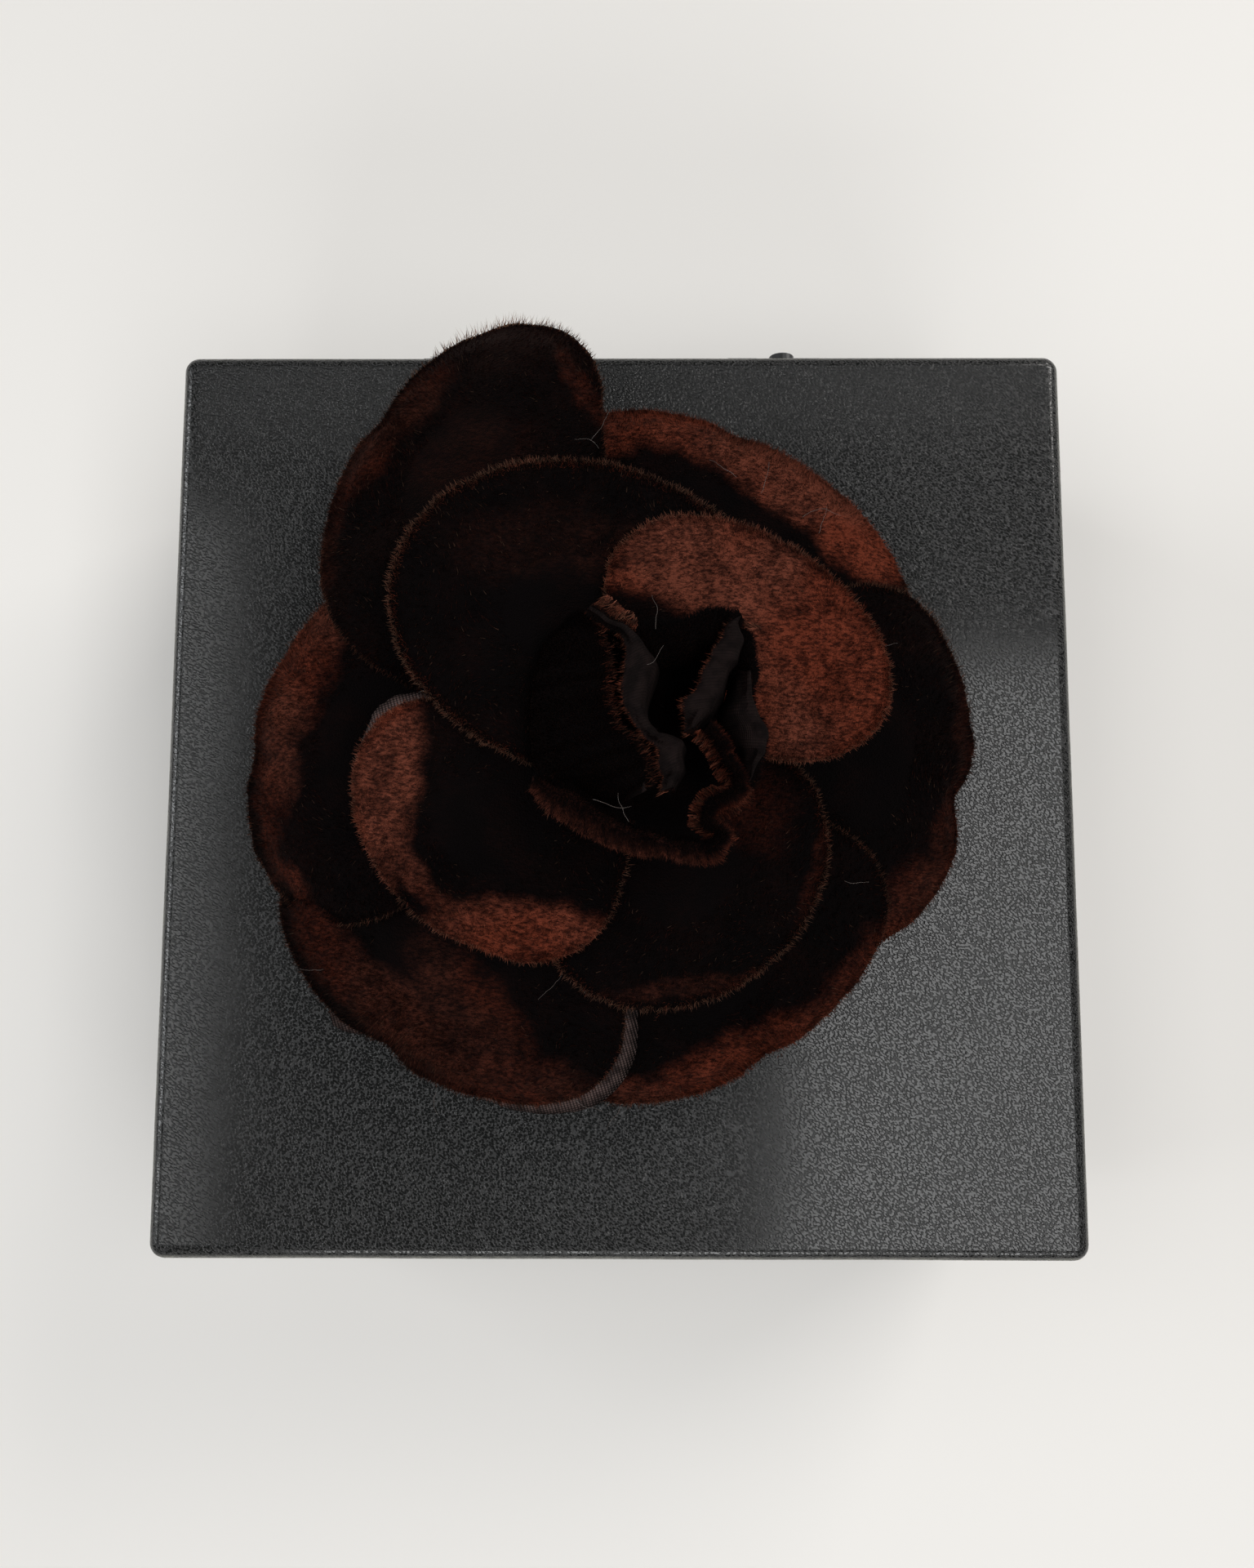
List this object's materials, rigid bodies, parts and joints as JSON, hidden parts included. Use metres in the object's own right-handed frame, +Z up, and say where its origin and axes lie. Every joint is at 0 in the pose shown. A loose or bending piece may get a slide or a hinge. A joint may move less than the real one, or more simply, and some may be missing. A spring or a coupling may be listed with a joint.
{
  "type": "box clutch purse",
  "caption": "Rigid square leather box clutch with a hinged lid, lined interior and a detachable velvet camellia on its lid.",
  "frame": {"origin": "centre of the underside of the base, where the box rests", "axes": "+Z up through the lid, +Y towards the hinged back, +X to the right when facing the front"},
  "size_m": [0.125, 0.1309, 0.0836],
  "materials": {
    "grained_leather": "near-black leather with a fine pebble grain, semi-matt with a broad soft glow",
    "board": "dense board covered with black paper",
    "collar_leather": "smooth black leather over board",
    "suede_lining": "dark brown microsuede with a short nap",
    "foam": "thin foam padding, hidden",
    "magnet": "nickel-plated magnet",
    "steel": "plain steel",
    "black_lacquer_metal": "black lacquered metal, satin",
    "felt": "dark brown felt",
    "velvet": "dark chocolate-brown silk velvet, crushed pile, raw cut edges, grey-brown woven backing"
  },
  "bodies": {
    "base": {"base_leather": "grained_leather", "base_shell": "board", "base_bottom_leather": "grained_leather", "base_pad": "foam", "base_lining": "suede_lining", "rim_collar": "collar_leather", "base_magnet_left": "magnet", "base_magnet_right": "magnet", "left_hinge_base_leaf": "black_lacquer_metal", "right_hinge_base_leaf": "black_lacquer_metal", "left_hinge_pin": "steel", "right_hinge_pin": "steel", "base_rivet_1": "black_lacquer_metal", "base_rivet_2": "black_lacquer_metal", "base_rivet_3": "black_lacquer_metal", "base_rivet_4": "black_lacquer_metal"},
    "lid": {"lid_leather": "grained_leather", "lid_shell": "board", "lid_pad": "foam", "lid_lining": "suede_lining", "lid_magnet_left": "magnet", "lid_magnet_right": "magnet", "left_hinge_lid_leaf": "black_lacquer_metal", "right_hinge_lid_leaf": "black_lacquer_metal", "press_stud_post": "black_lacquer_metal", "press_stud_cap": "steel", "lid_rivet_1": "black_lacquer_metal", "lid_rivet_2": "black_lacquer_metal", "lid_rivet_3": "black_lacquer_metal", "lid_rivet_4": "black_lacquer_metal"},
    "flower": {"press_stud_socket": "black_lacquer_metal", "flower_felt_backing": "felt", "outer_petal_back_right": "velvet", "outer_petal_right": "velvet", "outer_petal_front_right": "velvet", "outer_petal_front_left": "velvet", "outer_petal_left": "velvet", "outer_petal_back_left": "velvet", "middle_petal_front": "velvet", "middle_petal_left": "velvet", "middle_petal_back": "velvet", "middle_petal_right": "velvet", "bud_petal_outer": "velvet", "bud_petal_back": "velvet", "bud_petal_left": "velvet", "bud_petal_middle": "velvet", "bud_petal_right": "velvet", "bud_petal_front": "velvet"}
  },
  "joints": [
    {"name": "lid_hinge", "type": "hinge", "parent": "base", "child": "lid", "pos_m": [0, 0.0645, 0.0358], "axis": [-1, 0, 0], "range_deg": [0, 100]},
    {"name": "flower_lift", "type": "slide", "parent": "lid", "child": "flower", "axis": [0, 0, 1], "range_m": [0, 0.03]}
  ]
}
